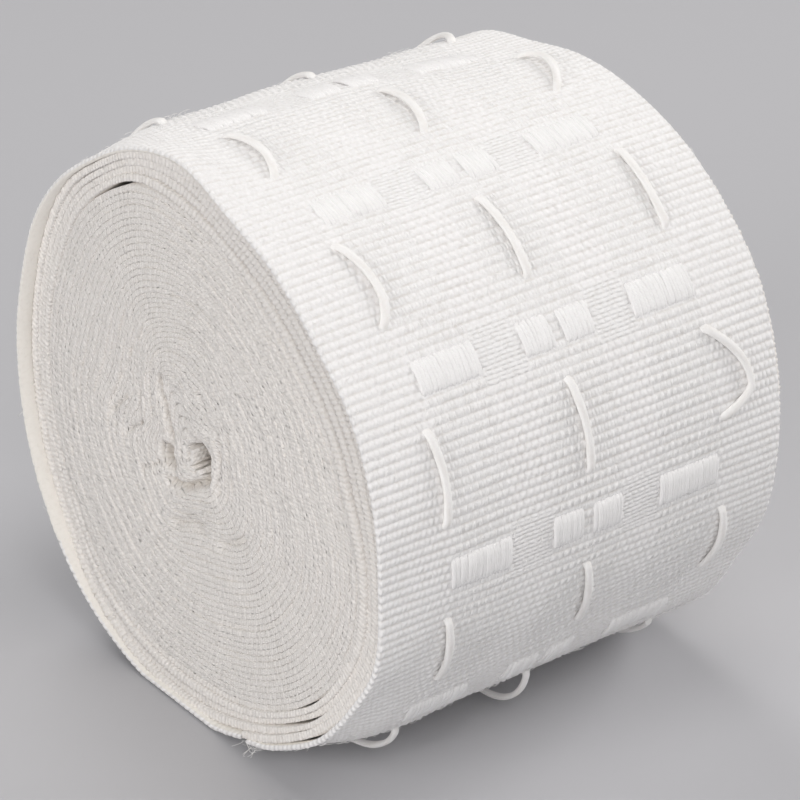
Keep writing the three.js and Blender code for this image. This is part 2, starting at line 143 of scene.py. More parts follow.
# Creases, hollows and raised folds round the core: a line of y and z at the near end, how
# far the edges sink below the others there, or less than 0 where they stand proud, and
# half its width
CORE_FOLDS = (
    (((9.8, 9.2), (9.6, 7.3), (8.9, 5.9), (8.5, 4.0), (8.0, 2.0), (7.3, -0.3), (6.9, -1.8)), 1.6, 0.5),
    (((8.8, -2.7), (8.6, -4.0), (7.8, -4.3)), 4.2, 0.9),
    (((9.7, -5.2), (12.7, -6.9), (14.7, -8.2), (14.5, -9.1)), 0.7, 0.4),
    (((8.2, -7.7), (6.3, -7.3), (4.2, -7.1), (2.1, -5.9), (-0.1, -4.6), (-2.2, -3.1)), 1.9, 0.6),
    (((0.2, 1.2), (-1.2, 0.1), (-1.0, -1.7), (-1.4, -3.0)), 2.2, 1.0),
    (((6.0, -1.8), (4.4, 1.5), (1.7, 3.2), (-1.8, 4.8)), -0.5, 0.9),
    (((4.5, -1.6), (4.0, -3.2), (4.1, -4.9)), -0.5, 1.6),
    (((6.8, -10.5), (2.7, -7.9), (-1.3, -6.4), (-5.2, -5.9)), -0.4, 1.0),
    (((-4.1, 4.8), (-3.8, -3.9)), -0.4, 0.8),
    (((-5.6, 6.0), (-5.2, -3.6)), 0.5, 0.5),
    (((-8.0, 7.6), (-7.6, -3.4)), 0.4, 0.5),
    (((6.0, -13.8), (2.8, -12.0), (-0.3, -11.5)), 0.7, 1.2),
    (((-6.3, -12.2), (-11.5, -8.9)), 0.6, 1.0),
    (((23.4, -2.2), (21.0, 0.2), (18.7, 2.3)), 0.7, 0.4),
    (((19.1, -3.8), (16.8, -2.1), (14.8, -0.5)), 0.7, 0.4),
    (((14.7, 6.8), (15.2, 3.1), (14.8, 0.7)), 0.5, 0.4),
    (((-0.6, 11.6), (-1.4, 9.9), (-2.2, 9.2)), 0.8, 0.4),
)

# The weave: rows across the tape and beads along each row
REPEATS = 10
ROWS_PER_REPEAT = 22
ROW_ANGLE = 36 / ROWS_PER_REPEAT
ROW_PITCH = 1.354
BEAD_PITCH = 1.25
COLUMN_STEP = BEAD_PITCH / 4
EXTRA_SELVEDGE_BEADS = 3
FIRST_POCKET_ANGLE = 75
GROOVE_PLACE = 0.5

POCKET_BARS = ((12.4, 23.0), (31.1, 36.5), (38.5, 43.7), (51.3, 62.6))
POCKET_COLUMNS = ((12.6, 23.2), (31.0, 43.9), (51.1, 62.8))
BAR_HALF_ANGLE = 3.25
BAR_ROW_SLIPS = {147: -1.2, 183: -1.7}
THREAD_PITCH = 0.65
THREAD_RADIUS = 0.47
THREAD_FLATNESS = 0.78
THREAD_RISE = 0.09
SELVEDGE = 10.8

# Draw cords and their floats, as in the part's source. aside moves a float towards the
# far edge, bow bends it that way, lean is its slant, rise its height and peak where it is
# fullest.
CORD_HALF_WIDTH = 0.66
CORD_FLATNESS = 0.7
FLOAT_HALF_ANGLE = 8.5
FLOAT_BEFORE_POCKET = 20
DRAW_CORDS = {"left": 12.0, "centre": 37.5, "right": 63.5}
FLOAT_SHAPE = ("aside", "bow", "lean", "rise", "peak")
PLAIN_FLOAT = (0, 0.3, 0.5, 0.4, 0)
LOOSE_FLOATS = {
    ("left", 55): (0, 0.6, 0.6, 0.5, 0.2),
    ("centre", 55): (2, 0.8, 0.8, 0.6, 0.1),
    ("right", 55): (3.5, 2.5, -0.8, 0.8, -0.1),
    ("left", 91): (0, 1.5, -1.5, 0.6, 0.1),
    ("centre", 91): (2.2, 1.3, -2.5, 0.6, 0),
    ("right", 91): (2, 2.8, -3.5, 0.7, -0.2),
    ("left", 127): (-1, 1.9, 0, 0.5, 0.2),
    ("centre", 127): (-0.5, 0.5, 0, 0.4, 0),
    ("right", 127): (-0.3, 0.2, -0.5, 0.4, 0),
    ("left", 163): (-0.7, 0.7, 0.5, 0.4, 0),
    ("centre", 163): (-0.3, 0.4, 1.2, 0.4, 0),
    ("right", 163): (-0.8, 6, 1, 0.5, 0.4),
    ("left", 199): (1.2, 0.2, 2, 0.5, 0),
    ("centre", 199): (2, 0.1, 3, 0.5, 0),
    ("right", 199): (1.5, 0.6, 1.2, 0.5, 0),
    ("left", 235): (1.2, 0.8, -0.5, 1.9, 0.2),
    ("centre", 235): (0.6, 0.5, -1.3, 3.2, 0.1),
    ("right", 235): (0, 0.4, 0.2, 0.8, 0),
}
RESTING_ROW = 271
RESTING_FLOAT = (0, 0.5, 0.4, -0.2, 0)

# Short loose fibres: scattered ones, and tufts, each with its angle, its place across, how
# many fibres it has, their length and how far they spread
SCATTERED_FIBRES = 1200
LOWER_FIBRES = 500
LOWER_ANGLES = (222, 250)
FIBRE_RADIUS = 0.05
TUFTS = (
    (57, 15.5, 26, 2.6, 1.6),
    (251, 0.8, 34, 3.0, 1.6),
    (238, 18.2, 22, 2.6, 1.0),
    (54, 62.0, 14, 1.8, 1.4),
)

# Here, between two angles, the near rim has no beads and takes the inner side's cloth, whose cream colour is
# painted shade
SMOOTH_RIM = (-40, 108)

# The outermost turn is two meshes that meet here, in a groove at the back
JOIN_ANGLE = FIRST_POCKET_ANGLE - 18 * ROW_ANGLE

rng = np.random.default_rng(75)


# Shapes of the winding
def smooth(start, end, value):
    t = np.clip((value - start) / (end - start), 0, 1)
    return t * t * (3 - 2 * t)


def bell(distance):
    return np.exp(-distance * distance)


def off_angle(angle, centre):
    return (angle - centre + 180) % 360 - 180


def turn_angle(turn):
    return FREE_END_ANGLE + 360 * (turn - LAST_TURN)


def direction_at(angle):
    return np.stack([np.cos(np.radians(angle)), np.sin(np.radians(angle))], axis=-1)


def length_along(points):
    """Length of a line from its first point to each of its points."""
    return np.concatenate([[0], np.cumsum(np.linalg.norm(np.diff(points, axis=0), axis=1))])


def curve_through(a, b, c, d, t):
    """A smooth curve from b, where t is 0, to c, where t is 1. a and d are its neighbours."""
    return b + 0.5 * t * (c - a + t * (2 * a - 5 * b + 4 * c - d + t * (3 * (b - c) + d - a)))


def dip_at(angle, turn):
    dip = DIP_DEPTH * bell(off_angle(angle, DIP_ANGLE) / DIP_REACH)
    return dip * (1 - smooth(*DIP_END, turn))


def ring(name, angle):
    values = np.array(OUTLINE[name])
    place = (np.asarray(angle, float) % 360) / OUTLINE_STEP
    first = np.floor(place).astype(int)
    t = place - first
    a, b, c, d = (values[(first + step) % len(values)] for step in (-1, 0, 1, 2))
    return curve_through(a, b, c, d, t)


def outline_radius(angle, along, across):
    near = ring("near", angle)
    body = ring("body", angle)
    far = ring("far", angle)
    flare = (near - body) * bell(across / NEAR_FLARE_REACH)
    taper = (far - body) * smooth(FAR_BLEND_START, TAPE_WIDTH, across)
    return body + flare + taper + TURN_STEP * (along - 0.5)


def above_floor(radius, angle, clear):
    down = -np.sin(np.radians(angle))
    limit = (AXIS[2] - clear) / np.maximum(down, 0.05)
    return np.where(down > 0.05, np.minimum(radius, limit), radius)


def slack_used(loose, angle):
    """Share of the slack between the loose turns that lies inside a turn."""
    steps = np.linspace(0, 4, 81)
    weight = np.ones((steps.size,) + angle.shape)
    for turn, middle, reach, slack in STAND_OFFS:
        here = bell(off_angle(angle, middle) / reach)
        weight += slack * bell((steps - turn) / 0.3)[:, None] * here[None]
    total = np.cumsum(weight[1:] + weight[:-1], axis=0)
    total = np.concatenate([np.zeros((1, angle.size)), total])
    total /= total[-1]
    place = np.clip(loose, 0, 4) / 4 * (steps.size - 1)
    low = np.minimum(place.astype(int), steps.size - 2)
    columns = np.arange(angle.size)
    return total[low, columns] + (place - low) * (total[low + 1, columns] - total[low, columns])


def winding(turn, across):
    """Middle of the tape's thickness, as y and z, at a turn number and a distance across."""
    turn = np.asarray(turn, float)
    angle = turn_angle(turn)
    share = FIRST_SHARE + (PACKED_SHARE - FIRST_SHARE) * np.minimum(turn, LOOSE_FROM) / LOOSE_FROM
    stops = [0.0] + [share_at for _, share_at in RING_SHARES]
    radii = [np.zeros_like(angle)] + [ring(name, angle) for name, _ in RING_SHARES]
    packed = np.zeros_like(angle)
    for i in range(len(stops) - 1):
        mix = (share - stops[i]) / (stops[i + 1] - stops[i])
        here = (share >= stops[i]) & (share <= stops[i + 1] + 1e-9)
        packed = np.where(here, radii[i] + mix * (radii[i + 1] - radii[i]), packed)
    loose = np.clip(turn - LOOSE_FROM, 0, 4)
    dip = dip_at(angle, turn)
    under = outline_radius(angle, 0, across) - OUTER_THICKNESS / 2 - dip
    spread = under - radii[-1] - 4 * LOOSE_THICKNESS
    inside = packed + LOOSE_THICKNESS * loose + spread * slack_used(loose, angle)
    outer = outline_radius(angle, turn - OUTERMOST, across) - OUTER_THICKNESS / 2 - dip
    radius = np.where(turn <= LOOSE_FROM, packed, np.where(turn < OUTERMOST, inside, outer))
    layers_below = np.maximum(0, OUTERMOST - np.floor(turn))
    radius = above_floor(radius, angle, OUTER_THICKNESS / 2 + PRESSED_THICKNESS * layers_below)
    off_centre = 1 - smooth(0, 1, loose / 4)
    return PACK_CENTRE * off_centre[..., None] + radius[..., None] * direction_at(angle)


# The start of the tape, folded inside the first turn, as y and z
FOLDED_START = (
    (2.6, 0.9), (2.4, -0.8), (2.6, -2.2), (3.5, -2.4), (3.8, -0.9), (3.4, 0.9),
    (2.2, 1.9), (0.4, 1.9), (-0.7, 0.9), (-0.9, -0.9), (-0.5, -2.3),
)


def smooth_line(points, step):
    """Points about step apart on a smooth curve through the given ones."""
    points = np.asarray(points, float)
    padded = np.vstack([2 * points[0] - points[1], points, 2 * points[-1] - points[-2]])
    fine = []
    for i in range(len(points) - 1):
        a, b, c, d = padded[i:i + 4]
        t = np.linspace(0, 1, 24, endpoint=False)[:, None]
        fine.append(curve_through(a, b, c, d, t))
    fine = np.vstack(fine + [points[-1:]])
    length = length_along(fine)
    at = np.linspace(0, length[-1], max(2, round(length[-1] / step) + 1))
    return np.stack([np.interp(at, length, fine[:, k]) for k in range(fine.shape[1])], axis=1)


# Meshes
def point_values(mesh, name, values):
    attribute = mesh.attributes.new(name, "FLOAT", "POINT")
    attribute.data.foreach_set("value", np.asarray(values, np.float32))


def mesh_piece(name, points, faces, uv=None, painted_shade=None, material=None, flat_faces=0):
    """A piece in the row frame from points in millimetres about the roll's axis. The
    last flat_faces faces are cut ends, which stay flat."""
    points = (np.asarray(points, float) + np.array(AXIS)) * MM
    faces = np.asarray(faces, int)
    mesh = bpy.data.meshes.new(name)
    corners = faces.shape[1]
    mesh.vertices.add(len(points))
    mesh.vertices.foreach_set("co", points.astype(np.float32).ravel())
    loop_total = np.full(len(faces), corners, np.int32)
    if corners == 4:
        loop_total[faces[:, 3] < 0] = 3
    flat = faces.ravel()
    flat = flat[flat >= 0]
    starts = np.concatenate([[0], np.cumsum(loop_total)[:-1]]).astype(np.int32)
    mesh.loops.add(len(flat))
    mesh.loops.foreach_set("vertex_index", flat.astype(np.int32))
    mesh.polygons.add(len(faces))
    mesh.polygons.foreach_set("loop_start", starts)
    rounded = np.ones(len(faces), bool)
    rounded[len(faces) - flat_faces:] = False
    mesh.polygons.foreach_set("use_smooth", rounded)
    mesh.update(calc_edges=True)
    mesh.validate()
    if flat_faces:
        edge_at = np.zeros(len(mesh.loops), np.int32)
        mesh.loops.foreach_get("edge_index", edge_at)
        sharp = np.zeros(len(mesh.edges), bool)
        sharp[edge_at[starts[-flat_faces]:]] = True
        mesh.attributes.new("sharp_edge", "BOOLEAN", "EDGE").data.foreach_set("value", sharp)
    if uv is not None:
        layer = mesh.uv_layers.new(name="weave")
        index = np.zeros(len(mesh.loops), np.int32)
        mesh.loops.foreach_get("vertex_index", index)
        layer.data.foreach_set("uv", np.asarray(uv, np.float32)[index].ravel())
    # These values are painted shade: they darken the colour in grooves, creases and hollows where shade falls
    if painted_shade is not None:
        point_values(mesh, "painted_shade", painted_shade)
    piece = bpy.data.objects.new(name, mesh)
    bpy.context.scene.collection.objects.link(piece)
    if material is not None:
        mesh.materials.append(material)
    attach(piece, "root")
    return piece


def corners_first(rows):
    """Rows of corner numbers, with the -1 of a triangle put last."""
    return np.array([[i for i in row if i >= 0] + [-1] * int((row < 0).sum()) for row in rows])


def ring_quads(count, sides):
    """Quads between successive closed rings of points."""
    index = np.arange(count * sides).reshape(count, sides)
    here, after = index[:-1], index[1:]
    return np.stack([here, np.roll(here, -1, 1), np.roll(after, -1, 1), after], -1).reshape(-1, 4)


def closed_strip(count, sides, caps):
    """Faces of a strip of count rings, with caps at both ends."""
    start = np.array(caps)
    end = np.where(start < 0, -1, start + (count - 1) * sides)
    return np.vstack([ring_quads(count, sides), corners_first(start[:, ::-1]), end])


def outward(points, faces):
    """The faces, turned round if the closed shape is inside out."""
    a, b, c = (np.asarray(points)[faces[:, k]] for k in (0, 1, 2))
    volume = (a * np.cross(b, c)).sum()
    d = np.asarray(points)[np.where(faces[:, 3] < 0, faces[:, 0], faces[:, 3])]
    volume += (a * np.cross(c, d)).sum()
    if volume >= 0:
        return faces
    return corners_first(faces[:, ::-1])


# Turns inside the outermost one
def recess_at(turn):
    """How far the edge lies inside the edge of the outermost turn."""
    places, depths = zip(*EDGE_RECESS)
    recess = np.interp(turn, places, depths)
    for step in TERRACES:
        angles, turns_at = zip(*step["line"])
        middle = (angles[0] + angles[-1]) / 2
        angle = middle + off_angle(turn_angle(turn), middle)
        inside = np.interp(angle, angles, turns_at) - turn
        ease = step.get("ease", TERRACE_EASE)
        here = smooth(angles[0] - ease, angles[0] + 3, angle)
        here = here * smooth(angles[-1] + ease, angles[-1] - 3, angle)
        sunk = step["depth"] * here * smooth(-0.2, 0.5, inside)
        recess = recess + sunk * np.exp(-np.maximum(inside, 0) / step["fade"])
    return recess


def core_depth(flat):
    """Depth of the creases round the core at points in the end plane."""
    depth = np.zeros(flat.shape[:-1])
    near_core = (flat ** 2).sum(-1) < 27 ** 2
    points = flat[near_core]
    total = np.zeros(len(points))
    for line, sunk, half_width in CORE_FOLDS:
        line = np.array(line)
        gap = np.full(len(points), np.inf)
        for a, b in zip(line[:-1], line[1:]):
            t = np.clip(((points - a) @ (b - a)) / ((b - a) @ (b - a)), 0, 1)
            gap = np.minimum(gap, np.linalg.norm(points - a - t[:, None] * (b - a), axis=1))
        total += sunk * bell(gap / half_width)
    depth[near_core] = total
    return depth


GRAIN = 0.055
ACROSS_PLACES = (0.0, 0.05, 3.0, TAPE_WIDTH - 3.0, TAPE_WIDTH - 0.05, TAPE_WIDTH)
# The tape's section: place across, its depth in from the edge, share of the thickness,
# and slip along the tape
TAPE_SECTION = (
    (0, 0.0, 0.0, 0.0), (0, 0.03, 0.55, 0.1), (1, 0.05, 0.97, 0.2), (2, 3.0, 1.0, 0.0),
    (3, 3.0, 1.0, 0.0), (4, 0.05, 0.97, 0.2), (5, 0.03, 0.55, 0.1), (5, 0.0, 0.0, 0.0),
    (5, 0.03, -0.55, -0.1), (4, 0.05, -0.97, -0.2), (3, 3.0, -1.0, 0.0), (2, 3.0, -1.0, 0.0),
    (1, 0.05, -0.97, -0.2), (0, 0.03, -0.55, -0.1),
)


def beaded_tape(name, line, recess, halves, crest, rows, notch, fine, material):
    """A stretch of tape on a line in the end plane, with a bead at each row along its
    edges. line gives the middle of its thickness for six places across, notch is how deep
    the edge is between two rows, and fine is how many beads fit in its thickness."""
    tangent = np.gradient(line, axis=1)
    tangent /= np.linalg.norm(tangent, axis=-1, keepdims=True) + 1e-9
    normal = np.stack([tangent[..., 1], -tangent[..., 0]], axis=-1)
    count = line.shape[1]
    groove = 1 - crest
    near = NEAR_EDGE + recess
    far = near + TAPE_WIDTH
    wave = 0.05 * rng.standard_normal((2, count))
    points = np.zeros((count, len(TAPE_SECTION), 3))
    uv = np.zeros((count, len(TAPE_SECTION), 2))
    painted_shade = np.zeros((count, len(TAPE_SECTION)))
    for k, (place, depth, share, slip) in enumerate(TAPE_SECTION):
        at_near = place < 3
        half = halves[0 if at_near else 1, 1 if share > 0 else 0]
        flat = line[place] + normal[place] * (half * share)[:, None] + tangent[place] * slip
        uneven = wave[0 if at_near else 1] + GRAIN * rng.standard_normal(count)
        inward = depth + (notch * groove + uneven) * (depth < 1)
        if at_near:
            carved = core_depth(flat)
            inward = inward + np.maximum(carved, -0.6)
            # Painted shade: the edges in the creases and hollows round the core, and the flanks deep between
            # the turns, are darkened
            painted_shade[:, k] = np.clip(carved / 1.2, 0, 1.6) + (0.8 if depth > 1 else 0)
        points[:, k, 0] = near + inward if at_near else far - inward
        points[:, k, 1:] = flat
        uv[:, k, 0] = share * half * fine + depth
        uv[:, k, 1] = rows * fine
    # Painted shade in the notches between the edge beads
    painted_shade = np.maximum(painted_shade, 1.6 * notch * groove[:, None])
    caps = [(0, 1, 13, -1), (1, 2, 12, 13), (2, 3, 11, 12), (3, 4, 10, 11), (4, 5, 9, 10),
            (5, 6, 8, 9), (6, 7, 8, -1)]
    points = points.reshape(-1, 3)
    faces = outward(points, closed_strip(count, len(TAPE_SECTION), caps))
    return mesh_piece(name, points, faces, uv.reshape(-1, 2), painted_shade.ravel(), material,
                      flat_faces=2 * len(caps))


def closed_share(loose, angle):
    """1 where two loose turns touch, and 0 where they stand off each other."""
    opened = np.zeros_like(loose)
    for turn, middle, reach, _ in STAND_OFFS:
        here = bell(off_angle(angle, middle) / (1.2 * reach))
        opened = np.maximum(opened, here * bell((loose - turn) / 0.6))
    return 1 - opened


def spacing(turn, normal, across):
    """Half thicknesses that fit between a turn and the ones inside and outside it."""
    line = winding(turn, across)
    inner = line - winding(turn - 1, across)
    outer = winding(turn + 1, across) - line
    inside = np.abs((inner * normal).sum(-1))
    outside = np.abs((outer * normal).sum(-1))
    inside = np.where(turn < START_TURN + 1, 0.9, inside)
    outside = np.where(turn + 1 > LAST_TURN, 1.0, outside)
    loose = smooth(LOOSE_FROM - 0.5, LOOSE_FROM + 0.5, turn)
    packed = PACKED_HALF + (CORE_HALF - PACKED_HALF) * smooth(8, 5, turn)
    halves = []
    for side, room in ((-0.5, 0.5 * inside), (0.5, outside_room(turn, outside))):
        closed = closed_share(turn - LOOSE_FROM + side, turn_angle(turn))
        most = packed + (LOOSE_HALF + (FULL_HALF - LOOSE_HALF) * closed - packed) * loose
        halves.append(np.minimum(most, room))
    return halves


def outside_room(turn, outside):
    return np.where(turn + 1 > OUTERMOST, outside - OUTER_THICKNESS / 2, 0.5 * outside)


# The outermost turn's first groove, in which the turns inside it end
FIRST_GROOVE = math.ceil((FREE_END_ANGLE - 360 - FIRST_POCKET_ANGLE) / ROW_ANGLE) + GROOVE_PLACE
OUTERMOST_START = OUTERMOST + (FIRST_POCKET_ANGLE + FIRST_GROOVE * ROW_ANGLE - FREE_END_ANGLE + 360) / 360

# The winding in fine steps, past the start of the outermost turn
LAST_FINE_TURN = OUTERMOST + 0.1
FINE_STEPS_PER_TURN = 720
fine_count = int((LAST_FINE_TURN - START_TURN) * FINE_STEPS_PER_TURN) + 1
fine_turns = np.linspace(START_TURN, LAST_FINE_TURN, fine_count)
fine_line = winding(fine_turns, MIDDLE)
fine_length = length_along(fine_line)

start_line = smooth_line(np.vstack([FOLDED_START, winding(np.array([START_TURN]), MIDDLE)]), 0.1)


def row_samples(first_row, last_row, samples):
    """Rows of the weft as row numbers, and how near each sample is to the row's crest."""
    rows = np.arange(first_row, last_row)
    places = np.stack([rows + place for place, _ in samples], -1)
    crest = np.tile([crest for _, crest in samples], (len(rows), 1))
    return places.ravel(), crest.ravel()


PACKED_ROW = ((0.0, 1.0), (0.5, 0.0))
LOOSE_ROW = ((-0.24, 0.9), (0.1, 1.0), (0.5, 0.0))
OUTER_ROW = ((-0.27, 1.0), (0.27, 1.0), (0.5, 0.0))
LOOSE_BEAD_PITCH = 0.86


def wound_piece(name, from_turn, to_turn, pitch, samples, notch, fine, material):
    """A stretch of tape between two turns. It starts and ends in a groove."""
    ends = np.interp([from_turn, to_turn], fine_turns, fine_length)
    start, end = (np.round(ends / ROW_PITCH) + GROOVE_PLACE) * ROW_PITCH
    if to_turn > OUTERMOST:
        end = ends[1]
    count = round((end - start) / pitch)
    rows, crest = row_samples(1, count + 1, samples)
    rows = np.concatenate([[GROOVE_PLACE], rows])
    crest = np.concatenate([[0.0], crest])
    at = start + (rows - GROOVE_PLACE) * (end - start) / count
    turn = np.interp(at, fine_length, fine_turns)
    line = np.stack([winding(turn, place) for place in ACROSS_PLACES])
    body = winding(turn, BODY_PLACE)
    flared = np.linalg.norm(line[2], axis=-1) > np.linalg.norm(body, axis=-1)
    line[2] = np.where(flared[:, None], body, line[2])
    middle = winding(turn, MIDDLE)
    tangent = np.gradient(middle, axis=0)
    tangent /= np.linalg.norm(tangent, axis=-1, keepdims=True)
    normal = np.stack([tangent[:, 1], -tangent[:, 0]], axis=-1)
    halves = np.array([spacing(turn, normal, across) for across in (0.0, TAPE_WIDTH)])
    waver = 0.08 * np.sin(turn * 3.1 + 2.0) + 0.06 * np.sin(turn * 7.7) + 0.04 * np.sin(turn * 41.3)
    recess = np.maximum(recess_at(turn) + waver * smooth(45, 44, turn), 0)
    return beaded_tape(name, line, recess, halves, crest, rows, notch, fine, material)


def folded_piece(name, material):
    length = length_along(start_line)
    last = int(length[-1] / ROW_PITCH)
    rows, crest = row_samples(0, last, LOOSE_ROW)
    at = length[-1] - (last - 0.5 - rows) * ROW_PITCH
    keep = (at >= 0) & (at <= length[-1])
    rows, crest, at = rows[keep], crest[keep], at[keep]
    middle = np.stack([np.interp(at, length, start_line[:, k]) for k in (0, 1)], axis=1)
    line = np.stack([middle] * 6)
    halves = np.full((2, 2, len(at)), FOLDED_HALF)
    recess = 2.4 + 0.1 * np.sin(at * 0.6)
    return beaded_tape(name, line, recess, halves, crest, rows, 0.15, 2, material)


# The outermost turn, with the weave in its shape
def bar_row_slip(row):
    return BAR_ROW_SLIPS.get(round(row) % 360, 0.0)


def bar_row_offset(angle):
    """Degrees from the middle of the nearest row of pocket bars."""
    row = np.round((angle - FIRST_POCKET_ANGLE) / 36) * 36 + FIRST_POCKET_ANGLE
    slip = np.array([bar_row_slip(value) for value in np.ravel(row)]).reshape(np.shape(row))
    return angle - row - slip


def in_spans(across, spans, soft=0.3):
    inside = np.zeros_like(across)
    for start, end in spans:
        rising = smooth(start - soft, start + soft, across)
        inside = np.maximum(inside, rising * smooth(end + soft, end - soft, across))
    return inside


def cloth_swell(angle, across):
    """Slow unevenness of the cloth."""
    a = np.radians(angle)
    swell = 0.10 * np.sin(3 * a + across * 0.11 + 1.0) + 0.07 * np.sin(7 * a - across * 0.23 + 2.2)
    swell = swell + 0.05 * np.sin(13 * a + across * 0.41)
    pucker = bell(off_angle(bar_row_offset(angle), 0) / 7) * in_spans(across, POCKET_COLUMNS, 2.5)
    return swell + 0.12 * pucker


def float_shape(cord, row):
    numbers = RESTING_FLOAT if row == RESTING_ROW else LOOSE_FLOATS.get((cord, row), PLAIN_FLOAT)
    return dict(zip(FLOAT_SHAPE, numbers))


def float_place(cord, shape, t):
    """Place across of a float's middle, and its swell, from t -1 to 1 along it."""
    inside = np.clip(t, -1, 1)
    peak = shape["peak"]
    arch = np.where(inside < peak, (inside - peak) / (1 + peak), (inside - peak) / (1 - peak))
    swell = 1 - arch * arch
    return DRAW_CORDS[cord] + shape["aside"] + shape["bow"] * swell + shape["lean"] * t / 2, swell


def float_rows():
    return [(FIRST_POCKET_ANGLE - FLOAT_BEFORE_POCKET + 36 * repeat) % 360 for repeat in range(REPEATS)]


def beside_floats(angle, across):
    """1 in the narrow hollow on the near side of each float, and at the holes at its ends."""
    hollow = np.zeros((len(angle), len(across)))
    for cord in DRAW_CORDS:
        for row in float_rows():
            t = off_angle(angle, row) / FLOAT_HALF_ANGLE
            place, _ = float_place(cord, float_shape(cord, row), t)
            along = smooth(1.15, 1.0, np.abs(t))[:, None]
            hollow = np.maximum(hollow, along * bell((across[None] - place[:, None] + 0.72) / 0.32))
    return hollow


def bead_number(across, strokes=False):
    """Beads between the near edge and a place across. The selvedges have finer ones, and
    the pocket columns have strokes as fine as the threads of the bars."""
    number = across / BEAD_PITCH + EXTRA_SELVEDGE_BEADS * np.clip(across / SELVEDGE, 0, 1)
    number = number + EXTRA_SELVEDGE_BEADS * np.clip((across - TAPE_WIDTH + SELVEDGE) / SELVEDGE, 0, 1)
    if strokes:
        for start, end in POCKET_COLUMNS:
            extra = round((end - start) * (1 / THREAD_PITCH - 1 / BEAD_PITCH))
            number = number + extra * np.clip((across - start) / (end - start), 0, 1)
    return number


def fine_row_share(angle, across):
    """1 in the plain columns beside the pocket bars, where the rows are half as wide."""
    middle = smooth(SELVEDGE + 1, SELVEDGE + 2, across)
    middle = middle * smooth(TAPE_WIDTH - SELVEDGE - 1, TAPE_WIDTH - SELVEDGE - 2, across)
    plain = middle * (1 - in_spans(across, POCKET_COLUMNS))
    return smooth(6.5, 4.5, np.abs(bar_row_offset(angle)))[:, None] * plain[None, :]


def weave_height(row, crest, across, angle):
    """Height of the weave over the tape's plain surface, for rows by places across, and
    how much painted shade each point gets in the gaps between rows and beads and in the hollows beside the
    floats."""
    number = np.floor(row + 0.5).astype(int)[:, None]
    half_turn = 0.5 * (number % 2)
    bead = 0.5 + 0.5 * np.cos(2 * np.pi * (bead_number(across)[None, :] + half_turn))
    tall = (number % 2 == 0).astype(float)
    ridge = crest[:, None]
    groove = 1 - ridge
    fine_rows = fine_row_share(angle, across)
    near_side = smooth(SELVEDGE + 1, SELVEDGE - 1, across)
    far_side = smooth(TAPE_WIDTH - SELVEDGE - 1, TAPE_WIDTH - SELVEDGE + 1, across)
    selvedge = np.maximum(near_side, far_side)[None, :]
    pocket = in_spans(across, POCKET_COLUMNS)[None, :]
    plain = (ridge * (0.20 * bead - 0.10) - 0.09 * groove) * (1 - 0.6 * fine_rows)
    beaded = ridge * (tall * (0.24 * bead - 0.08) + (1 - tall) * (0.12 * bead - 0.08)) - 0.10 * groove
    ribbed = ridge * (0.08 * bead - 0.03) - 0.13 * groove
    height = plain * (1 - pocket) + beaded * pocket
    height = height * (1 - selvedge) + ribbed * selvedge
    bar_rows = smooth(BAR_HALF_ANGLE + 0.3, BAR_HALF_ANGLE - 0.5, np.abs(bar_row_offset(angle)))
    covered = in_spans(across, POCKET_BARS)[None, :] * bar_rows[:, None]
    hollow = beside_floats(angle, across)
    # Painted shade in the grooves between rows, between beads and in the hollow beside each float
    gap = groove * (1 - 0.6 * fine_rows) + ridge * 0.3 * (1 - bead)
    gap = np.maximum(gap * (1 - covered), 0.7 * hollow)
    return height * (1 - covered) - 0.22 * covered - 0.16 * hollow, gap, fine_rows * (1 - covered)


